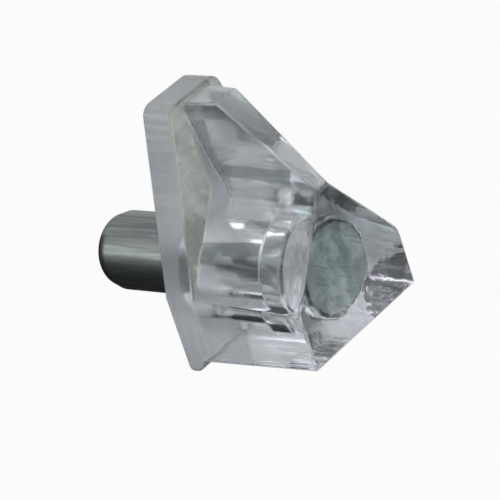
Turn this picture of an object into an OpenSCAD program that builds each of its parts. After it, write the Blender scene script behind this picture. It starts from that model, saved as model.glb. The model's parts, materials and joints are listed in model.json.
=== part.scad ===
// Shelf support pin: a clear moulded bracket with a headed steel pin moulded into it.
// It is drawn as it is used. The cabinet side is the plane y = 0 and its hole lies at +y,
// the shelf rests on the seat, which faces +z, and the origin is on the pin's axis at the
// cabinet side. Lengths are in millimetres.

/* [Steel pin] */
// Diameter of the pin, for a hole of the same size
pin_d = 5; // [4:0.1:5.6]
// Length of pin that stands out of the bracket
pin_reach = 8.5; // [5:0.1:12]
// Length of the tapered lead at the free end
lead_l = 1.1; // [0.6:0.1:2]
// How far the lead narrows, on the radius
lead_depth = 0.35; // [0.2:0.05:0.9]
// Radius of the edge round the free end
tip_edge_r = 0.45; // [0.1:0.05:0.5]
// Diameter of the head that locks the pin in the plastic
head_d = 6.3; // [6:0.1:7.2]
// Thickness of the head
head_t = 2; // [1.2:0.1:3]
// Radius of the head's two edges
head_edge_r = 0.4; // [0.1:0.05:0.5]
// How much the moulded-in shank swells towards the head, on the radius
shank_swell = 0.06; // [0.02:0.02:0.2]

/* [Wall plate] */
// Thickness of the plate that lies on the cabinet side
plate_t = 2.3; // [1.6:0.1:3]
// Width of the plate above its shoulders
plate_w = 11; // [10.6:0.1:13]
// Width of the plate's foot
foot_w = 4.6; // [3.6:0.1:7]
// Distance from the pin's axis down to the foot
foot_drop = 11.7; // [10:0.1:16]
// Distance from the pin's axis down to the plate's shoulders
shoulder_drop = 0.35; // [0:0.05:1]
// Radius of the foot's two corners
foot_corner_r = 0.9; // [0.3:0.05:1.4]
// Radius of the lip's two corners
lip_corner_r = 0.6; // [0.3:0.05:0.9]
// Height of the lip behind the shelf, above the seat
lip_h = 1; // [0.4:0.05:1.5]
// Depth of the lip at the seat
lip_d = 1.45; // [1:0.05:1.6]
// Depth of the lip's flat top
lip_top_d = 0.5; // [0.1:0.05:0.8]

/* [Seat block] */
// Height of the seat above the pin's axis
seat_h = 4; // [3.8:0.05:6]
// Distance from the cabinet side to the front face
reach = 10.1; // [9:0.1:14]
// Width of the front face
front_w = 10.4; // [9:0.1:10.6]
// Height of the front face's shoulders above the pin's axis
front_shoulder_rise = 0.15; // [0:0.05:0.6]
// Distance from the pin's axis down to the front face's blunt tip
front_tip_drop = 5.55; // [5.2:0.05:7]
// Radius along the block's crisp shoulder, on the +x side
crisp_shoulder_r = 0.3; // [0.1:0.1:2]
// Radius along the block's soft shoulder, on the -x side
soft_shoulder_r = 1.5; // [0.4:0.1:2]
// Thickness of plastic in front of the pin's head
front_wall = 2.2; // [1.2:0.1:3]

/* [Web] */
// Thickness of the web where it leaves the plate
web_root_t = 2.4; // [1.8:0.1:3]
// Thickness of the web at the front face
web_front_t = 1.2; // [0.8:0.1:1.6]
// Distance from the cabinet side to the end of the web's level edge
web_level_reach = 4.85; // [3.2:0.05:6]
// Height of the web's level edge above the foot
web_step = 0.2; // [0:0.05:0.6]

/* [Fit] */
// Film of air round the moulded-in part of the pin, where the plastic has shrunk in cooling
insert_gap = 0.01; // [0:0.01:0.1]

/* [Hidden] */
$fn = 96;
// Longer than any line through the part
far = 1.5 * (reach + foot_drop);
pin_r = pin_d / 2;
head_face_y = -(reach - front_wall);
web_level_z = -(foot_drop - web_step);

// The block's shoulder at the plate, its shoulder at the front face, and the front face's tip
shoulder_back = [plate_w / 2, -plate_t, -shoulder_drop];
shoulder_front = [front_w / 2, -reach, front_shoulder_rise];
tip_front = [web_front_t / 2, -reach, -front_tip_drop];

function unit(v) = v / norm(v);

// Outward normals of the planes that bound the block and the web, on the +x side
shoulder_run = unit(shoulder_front - shoulder_back);
side_normal = unit(cross([0, 0, 1], shoulder_run));
slant_normal = unit(cross(shoulder_run, tip_front - shoulder_front));
web_normal = unit([reach - plate_t, -(web_root_t - web_front_t) / 2, 0]);
web_edge_normal = unit([0, front_tip_drop + web_level_z, web_level_reach - reach]);

// Turns the z axis to point along v
module along(v) {
    rotate([0, acos(v.z / norm(v)), atan2(v.y, v.x)]) children();
}

// Everything beyond the plane through p with the outward normal n
module beyond(p, n) {
    translate(p) along(n) translate([-far, -far, 0]) cube([2 * far, 2 * far, far]);
}

// The children and their mirror image in the plane x = 0
module both_sides() {
    children();
    mirror([1, 0, 0]) children();
}

// An outline with true arcs at its outer corners: one radius for each point, anticlockwise
module rounded(points, radii) {
    n = len(points);
    function to_next(i) = unit(points[(i + 1) % n] - points[i]);
    function to_last(i) = unit(points[(i + n - 1) % n] - points[i]);
    function half_angle(i) = acos(to_next(i) * to_last(i)) / 2;
    function tangent(i) = radii[i] / tan(half_angle(i));
    polygon([
        for (i = [0:n - 1])
            each radii[i] > 0
                ? [points[i] + to_last(i) * tangent(i), points[i] + to_next(i) * tangent(i)]
                : [points[i]]
    ]);
    for (i = [0:n - 1])
        if (radii[i] > 0)
            translate(points[i] + unit(to_next(i) + to_last(i)) * radii[i] / sin(half_angle(i)))
                circle(r = radii[i]);
}

// A section of [distance from the cabinet side, height] points, extruded across the width
module side_section(points, width) {
    translate([-width / 2, 0, 0]) rotate([90, 0, 90]) linear_extrude(width)
        polygon([for (p = points) [-p.x, p.y]]);
}

// The pin's outline from its head to its free end, grown by a gap and turned about the y axis
module pin_form(gap = 0) {
    head_r = head_d / 2;
    rotate([-90, 0, 0]) rotate_extrude() {
        rounded([
            [0, head_face_y - gap],
            [head_r + gap, head_face_y - gap],
            [head_r + gap, head_face_y + head_t + gap],
            [0, head_face_y + head_t + gap],
        ], [0, head_edge_r, head_edge_r, 0]);
        rounded([
            [0, head_face_y + head_t / 2],
            [pin_r + shank_swell + gap, head_face_y + head_t / 2],
            [pin_r + gap, 0],
            [pin_r + gap, pin_reach - lead_l],
            [pin_r + gap - lead_depth, pin_reach],
            [0, pin_reach],
        ], [0, 0, 0, 0, tip_edge_r, 0]);
    }
}

// The plate: its outline seen from the room, cut to its section seen from the side
module plate() {
    top_z = seat_h + lip_h;
    intersection() {
        rotate([90, 0, 0]) linear_extrude(plate_t) rounded([
            [-foot_w / 2, -foot_drop],
            [foot_w / 2, -foot_drop],
            [plate_w / 2, -shoulder_drop],
            [plate_w / 2, top_z],
            [-plate_w / 2, top_z],
            [-plate_w / 2, -shoulder_drop],
        ], [foot_corner_r, foot_corner_r, 0, lip_corner_r, lip_corner_r, 0]);
        side_section([
            [0, -foot_drop],
            [plate_t, -foot_drop],
            [plate_t, seat_h],
            [lip_d, seat_h],
            [lip_top_d, top_z],
            [0, top_z],
        ], plate_w);
    }
}

// The wedge of plastic outside a radius along the shoulder on the +x side
module shoulder_waste(radius) {
    out = unit(side_normal + slant_normal);
    half_turn = acos(side_normal * out);
    centre = shoulder_back - out * radius / cos(half_turn);
    difference() {
        beyond(centre + out * radius * cos(half_turn), out);
        translate(centre) along(shoulder_run) cylinder(r = radius, h = far, center = true);
    }
}

// The block under the seat: it narrows towards the front, and its underside slants to the web
module block() {
    difference() {
        translate([-plate_w / 2, -reach, -foot_drop])
            cube([plate_w, reach - plate_t, foot_drop + seat_h]);
        both_sides() {
            beyond(shoulder_back, side_normal);
            beyond(shoulder_back, slant_normal);
        }
        shoulder_waste(crisp_shoulder_r);
        mirror([1, 0, 0]) shoulder_waste(soft_shoulder_r);
        beyond(tip_front, web_edge_normal);
    }
}

// The web from the plate to the front face, thinner towards the front
module web() {
    difference() {
        side_section([
            [plate_t, web_level_z],
            [web_level_reach, web_level_z],
            [reach, -front_tip_drop],
            [reach, 0],
            [plate_t, 0],
        ], web_root_t);
        both_sides() beyond(tip_front, web_normal);
    }
}

module support_body() {
    color([0.75, 0.75, 0.8, 0.45]) difference() {
        union() {
            plate();
            block();
            web();
        }
        pin_form(insert_gap);
    }
}

module steel_pin() {
    color("silver") pin_form();
}

support_body();
steel_pin();
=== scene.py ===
import json
import math

import bmesh
import bpy
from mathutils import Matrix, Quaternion, Vector


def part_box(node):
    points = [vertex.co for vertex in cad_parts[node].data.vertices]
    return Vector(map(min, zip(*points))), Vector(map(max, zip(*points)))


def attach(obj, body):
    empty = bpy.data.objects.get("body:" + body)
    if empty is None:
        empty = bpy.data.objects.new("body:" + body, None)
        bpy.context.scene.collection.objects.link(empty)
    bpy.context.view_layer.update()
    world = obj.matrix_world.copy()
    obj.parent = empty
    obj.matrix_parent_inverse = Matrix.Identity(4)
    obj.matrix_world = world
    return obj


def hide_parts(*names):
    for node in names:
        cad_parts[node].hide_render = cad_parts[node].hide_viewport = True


bl_info = {
    "name": "Shelf support pin",
    "version": (1, 0, 0),
    "blender": (4, 5, 0),
    "location": "View3D > Sidebar > Shelf pin",
    "description": "A clear moulded shelf support with a turned steel pin, on a small studio stage",
    "category": "Add Mesh",
}

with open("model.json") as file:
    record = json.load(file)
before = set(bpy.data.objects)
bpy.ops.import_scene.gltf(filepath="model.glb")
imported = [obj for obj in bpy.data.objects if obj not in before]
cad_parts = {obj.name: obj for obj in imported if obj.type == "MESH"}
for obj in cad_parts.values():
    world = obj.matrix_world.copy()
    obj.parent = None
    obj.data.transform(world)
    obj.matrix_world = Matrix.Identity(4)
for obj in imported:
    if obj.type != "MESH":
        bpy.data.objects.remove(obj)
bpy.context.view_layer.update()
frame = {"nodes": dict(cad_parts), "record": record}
mounts = {mount["name"]: mount for mount in frame["record"]["mounts"]}

MM = 0.001
BODY = "root"
# Points nearer than this are one point
MERGE = 0.0001 * MM
# Room round the pin within which a face belongs to its cavity
CLOSE = 0.3 * MM
# Faces that meet at a smaller angle are one flat
FLAT = math.radians(0.5)
# Edges where faces meet at a larger angle get a radius
BENT = math.radians(30)
# Edges where faces meet at a larger angle are shaded crisp
SHARP = math.radians(35)
# What the camera looks at
AIM = Vector((-1.281, -1.317, 0.106)) * MM

# Lamps: name, place, width, power, tone, and the rays that miss them
LAMPS = (
    ("key", (0.25, -0.2, 0.35), 0.25, 1.5, (1, 1, 1), "transmission"),
    ("band", (0.135, 0.13, -0.069), 0.09, 0.027, (1, 1, 1), "transmission"),
    ("low", (-0.015, 0.11, -0.125), 0.16, 0.14, (1, 0.88, 1), "glossy"),
    ("cool", (0.055, 0.135, 0.105), 0.03, 0.006, (0.8, 0.95, 1), "glossy"),
)
# Cards: name, place, width, shade, and the only rays that meet them
CARDS = (
    ("grey_back", (0, 0.165, 0.145), 0.33, 0.5, "transmission"),
    ("dark_back", (-0.05, 0.135, 0.145), 0.24, 0.02, "transmission"),
    ("dark_front", (-0.056, -0.12, 0.15), 0.16, 0.02, "transmission"),
    ("dark_side", (0.13, 0.15, 0.016), 0.12, 0.02, "transmission"),
    ("dark_roof", (0, 0.1, 0.1), 0.42, 0.005, "glossy"),
    ("dark_end", (0.04, 0.2, -0.03), 0.14, 0.03, "glossy"),
    ("dark_aisle", (0.146, 0.13, 0.042), 0.11, 0.05, "glossy"),
    ("dim_under", (-0.091, 0.11, -0.091), 0.17, 0.62, "glossy"),
    ("dim_front", (-0.19, -0.195, 0.126), 0.16, 0.1, "glossy"),
)


def length(name, description, default, **limits):
    """A length property, in metres."""
    return bpy.props.FloatProperty(
        name=name, description=description, default=default, unit="LENGTH", precision=5, **limits
    )


def share(name, description, default):
    """A property from 0 to 1."""
    return bpy.props.FloatProperty(
        name=name, description=description, default=default, min=0, max=1, subtype="FACTOR"
    )


def colour(name, description, default):
    """A colour property, linear."""
    return bpy.props.FloatVectorProperty(
        name=name, description=description, default=default, size=3, min=0, max=1, subtype="COLOR"
    )


# ---------------------------------------------------------------- settings


class BracketSettings(bpy.types.PropertyGroup):
    """Edges and plastic of the clear bracket."""

    plate_t: length("Plate thickness", "Thickness of the plate on the cabinet side", 2.3 * MM)
    edge_r: length("Edge radius", "Radius along the moulding's edges", 0.18 * MM, min=0.05 * MM)
    gap: length("Gap", "Film of air round the moulded-in pin", 0.01 * MM)
    tint: colour("Tint", "Share of light that the plastic lets through", (0.398, 0.436, 0.455))
    tint_deep: colour("Deep tint", "The same where it is smokier", (0.29, 0.33, 0.345))
    # Painted light: the plastic is painted lighter just under the seat
    seat_light: colour("Seat tint", "The same just under the seat", (0.66, 0.70, 0.73))
    # Painted shade: the plastic is painted dark at the lowest part of the front face
    tip_shade: colour("Tip tint", "The same at the lowest part of the front face", (0.09, 0.105, 0.11))
    # Painted light: the plastic is painted lighter in the plate
    plate_light: colour("Plate tint", "The same in the plate", (0.66, 0.69, 0.725))
    # Painted light: the plastic is painted lighter and greener beside the web
    pocket_light: colour("Pocket tint", "The same beside the web", (0.52, 0.60, 0.50))
    # Painted highlight: the plastic is painted pale along the web's outer edge
    edge_highlight: colour("Edge tint", "The same on the web's outer edge", (0.80, 0.84, 0.88))
    clear: share("Clearness", "Share of light that passes and isn't scattered", 0.985)
    haze: share("Haze", "Least roughness", 0.05)
    haze_spread: share("Haze spread", "How much rougher the hazy places are", 0.1)
    plate_haze: share("Plate haze", "How much rougher the plate is than the block", 0.08)
    back_haze: share("Back haze", "How much rougher still the back of the plate is", 0.35)
    wave: length("Wave", "Depth of the waves on the surface", 0.1 * MM)
    grain: share("Grain", "Depth of the grain, as a share of the waves", 0.05)
    index: bpy.props.FloatProperty(
        name="Refractive index", description="How strongly the plastic bends light", default=1.56
    )


class PinSettings(bpy.types.PropertyGroup):
    """Form and metal of the headed pin."""

    head_t: length("Head thickness", "Thickness of the pin's head", 2 * MM)
    head_edge_r: length("Head edge radius", "Radius of the head's two edges", 0.4 * MM)
    tip_edge_r: length("Tip edge radius", "Radius round the free end", 0.45 * MM)
    lead_depth: length("Lead depth", "How far the free end narrows, on the radius", 0.35 * MM)
    swell: length("Swell", "How much the moulded-in shank swells, on the radius", 0.06 * MM)
    # Painted light: the moulded-in length is painted lighter than the length that stands out, as a lit copy
    # of one steel; the scratches on the head's face take this colour too
    metal: colour("Metal", "Colour of the moulded-in metal", (0.38, 0.42, 0.415))
    # Painted shade: the length that stands out is painted darker than the moulded-in length
    bare: colour("Bare length", "Colour of the length that stands out", (0.26, 0.29, 0.285))
    # Painted highlight: the side of the head is painted lighter than the shank
    head_side_lit: colour("Head side", "Colour round the side of the head", (0.62, 0.68, 0.68))
    face: colour("Head face", "Colour of the head's face", (0.92, 1.0, 0.98))
    face_bloom: colour("Bloom", "Colour of the dull bloom on the head's face", (0.70, 0.80, 0.80))
    dull: share("Dull", "How much rougher the length that stands out is", 0.12)
    # Painted shadow round the head's rounded edge; the same colour also darkens the real drawn streaks on
    # the length that stands out
    rim_shadow_and_streak: colour("Chip", "Colour of the chipped edge of the head", (0.05, 0.07, 0.075))
    mark: length("Mark", "Depth of the marks on the metal", 0.004 * MM)


class StageSettings(bpy.types.PropertyGroup):
    """Floor, light and camera."""

    azimuth: bpy.props.FloatProperty(
        name="Azimuth", description="Way round the part", default=math.radians(44.27), subtype="ANGLE"
    )
    elevation: bpy.props.FloatProperty(
        name="Elevation", description="Height over the part", default=math.radians(-24.9), subtype="ANGLE"
    )
    roll: bpy.props.FloatProperty(
        name="Roll", description="Turn of the camera on its own axis", default=math.radians(161.57),
        subtype="ANGLE",
    )
    distance: length("Distance", "From the camera to its aim", 196.2 * MM)
    lens: bpy.props.FloatProperty(
        name="Lens", description="Focal length in millimetres", default=230.7
    )
    floor_drop: length("Floor drop", "From the pin's axis down to the floor", 160 * MM)


# ---------------------------------------------------------------- shaders


class Wire:
    """One output of a shader node, on which sums are written as plain arithmetic."""

    def __init__(self, tree, socket=None):
        self.tree = tree
        self.socket = socket

    def node(self, kind, settings=None, inputs=None, output=0):
        """Adds a node, sets it up, feeds its sockets and returns one of its outputs."""
        made = self.tree.nodes.new(kind)
        for name, value in (settings or {}).items():
            setattr(made, name, value)
        for name, value in (inputs or {}).items():
            if isinstance(value, Wire):
                self.tree.links.new(value.socket, made.inputs[name])
            else:
                made.inputs[name].default_value = value
        return Wire(self.tree, made.outputs[output] if made.outputs else None)

    def other(self, output):
        """Another output of the same node."""
        return Wire(self.tree, self.socket.node.outputs[output])

    def sum(self, operation, first, second):
        """A Math node on two values."""
        return self.node("ShaderNodeMath", {"operation": operation}, {0: first, 1: second})

    def __add__(self, other):
        return self.sum("ADD", self, other)

    def __radd__(self, other):
        return self.sum("ADD", other, self)

    def __sub__(self, other):
        return self.sum("SUBTRACT", self, other)

    def __rsub__(self, other):
        return self.sum("SUBTRACT", other, self)

    def __mul__(self, other):
        return self.sum("MULTIPLY", self, other)


def new_material(name):
    """An empty material and the start of its wiring."""
    material = bpy.data.materials.new(name)
    material.use_nodes = True
    material.node_tree.nodes.clear()
    return material, Wire(material.node_tree)


def noise(wire, place, per_mm, detail=3, stretch=(1, 1, 1), turn=(0, 0, 0)):
    """Noise from 0 to 1 with a number of waves per millimetre, longer where stretch is more than 1."""
    scale = [run * MM / per_mm for run in stretch]
    grid = wire.node(
        "ShaderNodeMapping", {"vector_type": "TEXTURE"}, {"Vector": place, "Rotation": turn, "Scale": scale}
    )
    return wire.node(
        "ShaderNodeTexNoise", {"noise_dimensions": "3D"}, {"Vector": grid, "Scale": 1.0, "Detail": detail}
    )


def ramp(wire, value, low, high):
    """Rises smoothly from 0 at low to 1 at high."""
    return wire.node(
        "ShaderNodeMapRange", {"interpolation_type": "SMOOTHSTEP"},
        {"Value": value, "From Min": low, "From Max": high},
    )


def rise(wire, place, low, high):
    """The same along a length, with low and high in millimetres."""
    return ramp(wire, place, low * MM, high * MM)


def blend(wire, share_of_second, first, second):
    """A mix of two colours, which are the node's sockets 6 and 7."""
    return wire.node(
        "ShaderNodeMix", {"data_type": "RGBA"}, {0: share_of_second, 6: first, 7: second}, output=2
    )


def paint(wire, mask, shade, tint):
    """A colour with a tint laid over it where the mask is 1."""
    return blend(wire, mask, shade, (*tint, 1))


def from_axis(wire, place):
    """The distance from the pin's axis."""
    flat = wire.node("ShaderNodeVectorMath", {"operation": "MULTIPLY"}, {0: place, 1: (1, 0, 1)})
    return wire.node("ShaderNodeVectorMath", {"operation": "LENGTH"}, {0: flat}, output="Value")


def plastic_tint(wire, settings, place, cloud, grain):
    """The plastic's tint from place to place, with painted light and shade: lighter under the seat, in the
    plate, beside the web and along the web's outer edge, and dark at the tip of the front face. The wall
    round the pin keeps none of it.
    """
    along = wire.node("ShaderNodeSeparateXYZ", {}, {"Vector": place}, output="Y")
    up = along.other("Z")
    normal = wire.node("ShaderNodeNewGeometry", output="Normal")
    sideways = wire.node("ShaderNodeSeparateXYZ", {}, {"Vector": normal}, output="X")
    head_low, head_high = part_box("steel_pin")
    past_head = along - head_low.y
    past_plate = along + settings.plate_t
    # Painted light: where the plastic is painted lighter, just under the seat
    seat = rise(wire, up, 1, 2.4)
    # Painted shade: a dark patch at the lowest part of the front face, broken up by noise
    tip = rise(wire, up, -1.5, -4) * rise(wire, past_head, -1.6, -2)
    tip = tip * ramp(wire, cloud + grain * 0.1, 0.3, 0.62)
    # Painted light: where the plate is painted lighter
    plate = rise(wire, past_plate, -0.05, 0.1)
    # Painted light: the pockets beside the web, painted lighter and greener
    pocket = rise(wire, past_plate, -0.25, -0.1) * rise(wire, past_plate, 0.25, 0.1)
    pocket = pocket * rise(wire, up, -0.6, -1.2)
    # Painted highlight along the web's outer edge
    edge = ramp(wire, sideways * sideways, 0.16, 0.04) * rise(wire, up, -5.6, -5.9)
    edge = edge * rise(wire, past_plate, -0.3, -0.6)
    wall = rise(wire, past_head, -0.3, -0.2) * rise(wire, along, -0.02, -0.06)
    wall = wall * rise(wire, from_axis(wire, place) - head_high.x, 0.2, 0.1)
    shade = paint(wire, ramp(wire, cloud, 0.35, 0.65), (*settings.tint, 1), settings.tint_deep)
    shade = paint(wire, seat, shade, settings.seat_light)
    shade = paint(wire, tip, shade, settings.tip_shade)
    shade = paint(wire, plate, shade, settings.plate_light)
    shade = paint(wire, pocket, shade, settings.pocket_light)
    shade = paint(wire, edge, shade, settings.edge_highlight)
    return paint(wire, wall, shade, (1, 1, 1))


def clear_plastic(settings):
    """Clear gloss plastic with a faint smoky tint, slightly wavy and hazy as it leaves the mould."""
    material, wire = new_material("clear_plastic")
    place = wire.node("ShaderNodeTexCoord", output="Object")
    along = wire.node("ShaderNodeSeparateXYZ", {}, {"Vector": place}, output="Y")
    cloud = noise(wire, place, 0.5, detail=5)
    flow = noise(wire, place, 0.8, detail=2, stretch=(1, 12, 1))
    grain = noise(wire, place, 6, detail=3)
    plate = rise(wire, along + settings.plate_t, -0.05, 0.1)
    back = rise(wire, along, -0.12, -0.02)
    haze = settings.haze + grain * settings.haze_spread + plate * settings.plate_haze
    haze = haze + back * settings.back_haze
    height = flow + grain * settings.grain
    bump = wire.node("ShaderNodeBump", {}, {"Strength": 1.0, "Distance": settings.wave, "Height": height})
    shader = wire.node(
        "ShaderNodeBsdfPrincipled",
        {},
        {
            "Base Color": plastic_tint(wire, settings, place, cloud, grain),
            "Roughness": haze,
            "IOR": settings.index,
            "Transmission Weight": settings.clear,
            "Normal": bump,
        },
    )
    wire.node("ShaderNodeOutputMaterial", {}, {"Surface": shader})
    return material


def turned_steel(settings):
    """Nickelled steel: drawn marks along the shank, and a cut head face with scratches and bloom. Painted
    light and shade: the moulded-in length and the head's side are lighter, the length that stands out is
    darker, and the head's rounded edge has painted shade.
    """
    material, wire = new_material("pin_steel")
    place = wire.node("ShaderNodeTexCoord", output="Object")
    along = wire.node("ShaderNodeSeparateXYZ", {}, {"Vector": place}, output="Y")
    head_low, head_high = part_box("steel_pin")
    past_head = along - head_low.y
    past_rim = from_axis(wire, place) - head_high.x
    shank = rise(wire, past_head, 0.05, 0.3)
    outside = rise(wire, along, -1.5, -0.5)
    drawn = noise(wire, place, 5, detail=4, stretch=(1, 30, 1))
    bloom = noise(wire, place, 1.1, detail=6)
    grit = noise(wire, place, 4, detail=5)
    scratch = noise(wire, place, 9, detail=2, stretch=(25, 25, 1), turn=(0, math.radians(35), 0))
    second = noise(wire, place, 12, detail=2, stretch=(1, 1, 22), turn=(0, math.radians(-20), 0))
    marks = ramp(wire, scratch, 0.58, 0.68) + ramp(wire, second, 0.6, 0.7)
    patch = ramp(wire, bloom * 0.6 + grit * 0.4, 0.42, 0.58)
    # Painted shade over the head's rounded edge, with patches of painted shadow on it
    corner = rise(wire, past_rim, -0.5, -0.25)
    rim_shadows = corner * ramp(wire, bloom, 0.46, 0.56)
    streaks = ramp(wire, drawn, 0.42, 0.62) * outside
    # Painted highlight round the side of the head
    head_side_lit = rise(wire, past_head - settings.head_t, 0, -0.1)
    face_shade = paint(wire, patch, (*settings.face, 1), settings.face_bloom)
    face_shade = paint(wire, marks * 0.7, face_shade, settings.metal)
    face_shade = paint(wire, corner * 0.5 + rim_shadows * 0.5, face_shade, settings.rim_shadow_and_streak)
    # Painted light and shade: the moulded-in length lighter, the length that stands out darker
    shank_shade = paint(wire, outside, (*settings.metal, 1), settings.bare)
    shank_shade = paint(wire, streaks * 0.35, shank_shade, settings.rim_shadow_and_streak)
    shank_shade = paint(wire, head_side_lit, shank_shade, settings.head_side_lit)
    face_rough = 0.42 + patch * 0.16 - marks * 0.1
    shank_rough = 0.1 + drawn * 0.16 + bloom * 0.08 + outside * settings.dull
    height = (drawn + grit * outside) * shank + scratch * (1 - shank)
    bump = wire.node("ShaderNodeBump", {}, {"Strength": 1.0, "Distance": settings.mark, "Height": height})
    shader = wire.node(
        "ShaderNodeBsdfPrincipled",
        {},
        {
            "Base Color": blend(wire, shank, face_shade, shank_shade),
            "Roughness": face_rough + (shank_rough - face_rough) * shank,
            "Metallic": 1.0,
            "Normal": bump,
        },
    )
    wire.node("ShaderNodeOutputMaterial", {}, {"Surface": shader})
    return material


def seen_rays(wire):
    """1 for rays from the camera and for those that gloss or clear plastic sends on, else 0."""
    path = wire.node("ShaderNodeLightPath", output="Is Camera Ray")
    return path + path.other("Is Glossy Ray") + path.other("Is Transmission Ray")


def pale_floor():
    """Matt pale floor that looks white to the camera, and keeps the shadow."""
    material, wire = new_material("pale_floor")
    matt = wire.node("ShaderNodeBsdfDiffuse", {}, {"Color": (0.9, 0.9, 0.9, 1)})
    glow = wire.node("ShaderNodeEmission", {}, {"Color": (1, 1, 1, 1), "Strength": seen_rays(wire) * 0.05})
    shader = wire.node("ShaderNodeAddShader", {}, {0: matt, 1: glow})
    wire.node("ShaderNodeOutputMaterial", {}, {"Surface": shader})
    return material


# ---------------------------------------------------------------- mesh helpers


def pin_outline(settings, gap=0):
    """Half the pin's section from its head to its free end, as (radius, place along Y) points."""
    low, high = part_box("steel_pin")
    dims = mounts["wall_pin"]["dims"]
    pin_r = dims["r_mm"] * MM
    head_back = low.y + settings.head_t
    return [
        (0, low.y - gap),
        (high.x + gap, low.y - gap),
        (high.x + gap, head_back + gap),
        (pin_r + settings.swell + gap, head_back + gap),
        (pin_r + gap, 0),
        (pin_r + gap, dims["length_mm"] * MM),
        (pin_r + gap - settings.lead_depth, high.y),
        (0, high.y),
    ]


def turned(outline, rounded):
    """A closed form spun about the Y axis. Rounded gives a radius to corners of the outline by number."""
    bm = bmesh.new()
    corners = [bm.verts.new((x, y, 0)) for x, y in outline]
    for first, second in zip(corners, corners[1:]):
        bm.edges.new((first, second))
    for number, radius in rounded.items():
        bmesh.ops.bevel(
            bm, geom=[corners[number]], offset=radius, offset_type="OFFSET", segments=10, profile=0.5,
            affect="VERTICES", material=-1,
        )
    bmesh.ops.spin(
        bm, geom=bm.verts[:] + bm.edges[:], cent=(0, 0, 0), axis=(0, 1, 0), dvec=(0, 0, 0),
        angle=math.tau, steps=160, use_merge=True,
    )
    bmesh.ops.remove_doubles(bm, verts=bm.verts, dist=MERGE)
    bmesh.ops.recalc_face_normals(bm, faces=bm.faces)
    return bm


def new_object(name, bm, material=None):
    """An object at the origin that holds a bmesh."""
    mesh = bpy.data.meshes.new(name)
    for face in bm.faces:
        face.smooth = True
    bm.to_mesh(mesh)
    bm.free()
    if material:
        mesh.materials.append(material)
    made = bpy.data.objects.new(name, mesh)
    bpy.context.scene.collection.objects.link(made)
    return made


def finish_piece(piece, node):
    """Gives a piece true normals on its flats, and lets it stand for a node of the frame."""
    piece.data.set_sharp_from_angle(angle=SHARP)
    normals = piece.modifiers.new("flats", "WEIGHTED_NORMAL")
    normals.keep_sharp = True
    normals.weight = 100
    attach(piece, BODY)
    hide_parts(node)


def outer_skin(node):
    """The closed outer skin of a node, with the pin's cavity left out."""
    bm = bmesh.new()
    bm.from_mesh(frame["nodes"][node].data)
    bmesh.ops.remove_doubles(bm, verts=bm.verts, dist=MERGE)
    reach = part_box("steel_pin")[1].x + CLOSE
    inner = [face for face in bm.faces if all(math.hypot(v.co.x, v.co.z) < reach for v in face.verts)]
    bmesh.ops.delete(bm, geom=inner, context="FACES")
    bmesh.ops.holes_fill(bm, edges=[edge for edge in bm.edges if edge.is_boundary], sides=0)
    bmesh.ops.dissolve_limit(bm, angle_limit=FLAT, verts=bm.verts, edges=bm.edges)
    bmesh.ops.recalc_face_normals(bm, faces=bm.faces)
    return bm


def cut_off(bm, y, front):
    """The part of a closed form before or behind the plane at y, closed again there."""
    part = bm.copy()
    bmesh.ops.bisect_plane(
        part, geom=part.verts[:] + part.edges[:] + part.faces[:], dist=MERGE,
        plane_co=(0, y, 0), plane_no=(0, 1, 0), clear_outer=front, clear_inner=not front,
    )
    level = [face for face in part.faces if all(abs(vert.co.y - y) < MERGE for vert in face.verts)]
    bmesh.ops.delete(part, geom=level, context="FACES")
    bmesh.ops.holes_fill(part, edges=[edge for edge in part.edges if edge.is_boundary], sides=0)
    return part


def weigh_edges(bm, sharp_from_y):
    """Marks the edges that get a radius: those that stand out, before the plane at y."""
    weight = bm.edges.layers.float.new("bevel_weight_edge")
    for edge in bm.edges:
        before = any(vert.co.y < sharp_from_y - MERGE for vert in edge.verts)
        edge[weight] = before and edge.calc_face_angle_signed(0) > BENT


def moulded(parts, radius, cavity):
    """One solid from parts with rounded edges, less a cavity. It is worked out in millimetres."""
    made = []
    for bm in (*parts, cavity):
        bmesh.ops.scale(bm, vec=(1 / MM,) * 3, verts=bm.verts)
        made.append(new_object("part", bm))
    for item in made[:-1]:
        bevel = item.modifiers.new("edges", "BEVEL")
        bevel.limit_method = "WEIGHT"
        bevel.width = radius / MM
        bevel.segments = 5
        bevel.use_clamp_overlap = False
    for item in made[1:]:
        join = made[0].modifiers.new("join", "BOOLEAN")
        join.operation = "DIFFERENCE" if item == made[-1] else "UNION"
        join.solver = "MANIFOLD"
        join.object = item
    result = bmesh.new()
    result.from_mesh(made[0].evaluated_get(bpy.context.evaluated_depsgraph_get()).data)
    for item in made:
        bpy.data.objects.remove(item)
    bmesh.ops.scale(result, vec=(MM,) * 3, verts=result.verts)
    return result


# ---------------------------------------------------------------- pieces


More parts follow.
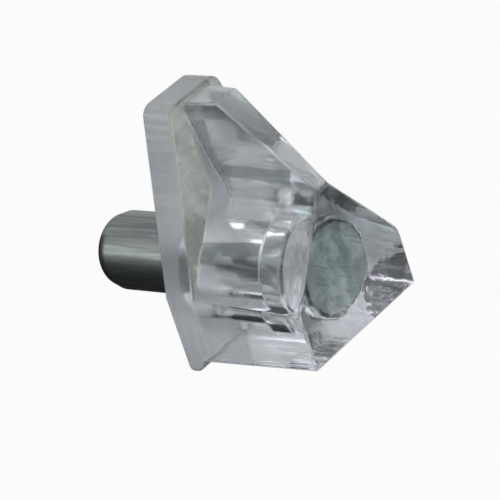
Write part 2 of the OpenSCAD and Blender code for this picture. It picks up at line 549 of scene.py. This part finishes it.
class SHELFPIN_OT_bracket(bpy.types.Operator):
    """Add the clear moulded bracket"""

    bl_idname = "shelfpin.bracket"
    bl_label = "Clear bracket"

    def execute(self, context):
        settings = context.scene.shelfpin_bracket
        pin = context.scene.shelfpin_pin
        skin = outer_skin("support_body")
        plate_front = -settings.plate_t
        plate = cut_off(skin, plate_front, front=False)
        weigh_edges(plate, math.inf)
        block = cut_off(skin, plate_front, front=True)
        root = [face for face in block.faces if face.normal.y > math.cos(FLAT)]
        grown = bmesh.ops.extrude_face_region(block, geom=root)["geom"]
        moved = [item for item in grown if isinstance(item, bmesh.types.BMVert)]
        bmesh.ops.translate(block, vec=(0, settings.plate_t / 2, 0), verts=moved)
        bmesh.ops.delete(block, geom=root, context="FACES_ONLY")
        bmesh.ops.recalc_face_normals(block, faces=block.faces)
        weigh_edges(block, plate_front / 2)
        skin.free()
        cavity = turned(pin_outline(pin, settings.gap), {1: pin.head_edge_r, 2: pin.head_edge_r})
        body = moulded((plate, block), settings.edge_r, cavity)
        piece = new_object("clear_bracket", body, clear_plastic(settings))
        finish_piece(piece, "support_body")
        return {"FINISHED"}


class SHELFPIN_OT_pin(bpy.types.Operator):
    """Add the turned steel pin"""

    bl_idname = "shelfpin.pin"
    bl_label = "Steel pin"

    def execute(self, context):
        settings = context.scene.shelfpin_pin
        bm = turned(
            pin_outline(settings),
            {1: settings.head_edge_r, 2: settings.head_edge_r, 6: settings.tip_edge_r},
        )
        piece = new_object("turned_pin", bm, turned_steel(settings))
        finish_piece(piece, "steel_pin")
        return {"FINISHED"}


class SHELFPIN_OT_stage(bpy.types.Operator):
    """Add the floor, the lights and the camera"""

    bl_idname = "shelfpin.stage"
    bl_label = "Stage"

    def execute(self, context):
        settings = context.scene.shelfpin_stage
        scene = context.scene
        add_floor(scene, settings.floor_drop)
        add_world(scene)
        for lamp in LAMPS:
            add_lamp(scene, *lamp)
        for card in CARDS:
            add_card(scene, *card)
        add_camera(scene, settings)
        scene.view_settings.view_transform = "Standard"
        scene.cycles.max_bounces = 24
        scene.cycles.transmission_bounces = 24
        scene.cycles.glossy_bounces = 12
        return {"FINISHED"}


def round_sheet(name, radius, segments, drop, material):
    """A level round sheet's mesh, below the origin by drop."""
    bm = bmesh.new()
    bmesh.ops.create_circle(bm, cap_ends=True, radius=radius, segments=segments)
    bmesh.ops.translate(bm, vec=(0, 0, -drop), verts=bm.verts)
    mesh = bpy.data.meshes.new(name)
    bm.to_mesh(mesh)
    bm.free()
    mesh.materials.append(material)
    return mesh


def add_floor(scene, drop):
    """The pale floor."""
    floor = bpy.data.objects.new("floor", round_sheet("floor", 3, 96, drop, pale_floor()))
    scene.collection.objects.link(floor)


def add_world(scene):
    """Even light from all round, and a white background."""
    world = bpy.data.worlds.new("studio")
    world.use_nodes = True
    world.node_tree.nodes.clear()
    wire = Wire(world.node_tree)
    light = wire.node("ShaderNodeBackground", {}, {"Color": (1, 1, 1, 1), "Strength": 0.6})
    white = wire.node("ShaderNodeBackground", {}, {"Color": (0.965, 0.965, 0.965, 1), "Strength": 1.0})
    shader = wire.node("ShaderNodeMixShader", {}, {0: seen_rays(wire), 1: light, 2: white})
    wire.node("ShaderNodeOutputWorld", {}, {"Surface": shader})
    scene.world = world


def place_flat(scene, name, data, place):
    """An object at a place, with its flat side turned to the part."""
    made = bpy.data.objects.new(name, data)
    scene.collection.objects.link(made)
    made.location = place
    made.rotation_mode = "QUATERNION"
    made.rotation_quaternion = made.location.to_track_quat("Z", "Y")
    made.visible_camera = False
    return made


def add_lamp(scene, name, place, size, power, tone, unseen_in):
    """A soft round lamp that is left out of what is glossy, or of what clear plastic sends on."""
    data = bpy.data.lights.new(name, "AREA")
    data.shape = "DISK"
    data.size = size
    data.energy = power
    data.color = tone
    lamp = place_flat(scene, name, data, place)
    lamp.visible_glossy = unseen_in != "glossy"
    lamp.visible_transmission = unseen_in != "transmission"


def add_card(scene, name, place, size, shade, seen_in):
    """A round card that only shows in what is glossy, or through what is clear."""
    material, wire = new_material(name)
    shader = wire.node("ShaderNodeEmission", {}, {"Color": (shade, shade, shade, 1)})
    wire.node("ShaderNodeOutputMaterial", {}, {"Surface": shader})
    card = place_flat(scene, name, round_sheet(name, size / 2, 48, 0, material), place)
    card.visible_diffuse = False
    card.visible_shadow = False
    card.visible_glossy = seen_in == "glossy"
    card.visible_transmission = seen_in == "transmission"


def add_camera(scene, settings):
    """The camera, turned on its own axis as the part is shown upside down."""
    data = bpy.data.cameras.new("camera")
    camera = bpy.data.objects.new("camera", data)
    scene.collection.objects.link(camera)
    data.lens = settings.lens
    data.sensor_width = 36
    data.clip_start = 0.01
    back = Vector((
        math.sin(settings.azimuth) * math.cos(settings.elevation),
        -math.cos(settings.azimuth) * math.cos(settings.elevation),
        math.sin(settings.elevation),
    ))
    camera.location = AIM + back * settings.distance
    camera.rotation_mode = "QUATERNION"
    camera.rotation_quaternion = Quaternion(back, settings.roll) @ (-back).to_track_quat("-Z", "Y")
    scene.camera = camera


class SHELFPIN_PT_parts(bpy.types.Panel):
    """The pieces and the stage, each with its settings"""

    bl_idname = "SHELFPIN_PT_parts"
    bl_label = "Shelf support pin"
    bl_space_type = "VIEW_3D"
    bl_region_type = "UI"
    bl_category = "Shelf pin"

    def draw(self, context):
        scene = context.scene
        for operator, settings in (
            ("shelfpin.bracket", scene.shelfpin_bracket),
            ("shelfpin.pin", scene.shelfpin_pin),
            ("shelfpin.stage", scene.shelfpin_stage),
        ):
            box = self.layout.box()
            box.operator(operator)
            for name in settings.__annotations__:
                box.prop(settings, name)


CLASSES = (
    BracketSettings,
    PinSettings,
    StageSettings,
    SHELFPIN_OT_bracket,
    SHELFPIN_OT_pin,
    SHELFPIN_OT_stage,
    SHELFPIN_PT_parts,
)


def register():
    for item in CLASSES:
        bpy.utils.register_class(item)
    bpy.types.Scene.shelfpin_bracket = bpy.props.PointerProperty(type=BracketSettings)
    bpy.types.Scene.shelfpin_pin = bpy.props.PointerProperty(type=PinSettings)
    bpy.types.Scene.shelfpin_stage = bpy.props.PointerProperty(type=StageSettings)


def unregister():
    del bpy.types.Scene.shelfpin_bracket
    del bpy.types.Scene.shelfpin_pin
    del bpy.types.Scene.shelfpin_stage
    for item in reversed(CLASSES):
        bpy.utils.unregister_class(item)


def main():
    register()
    bpy.ops.shelfpin.bracket()
    bpy.ops.shelfpin.pin()
    bpy.ops.shelfpin.stage()


if __name__ == "__main__":
    main()
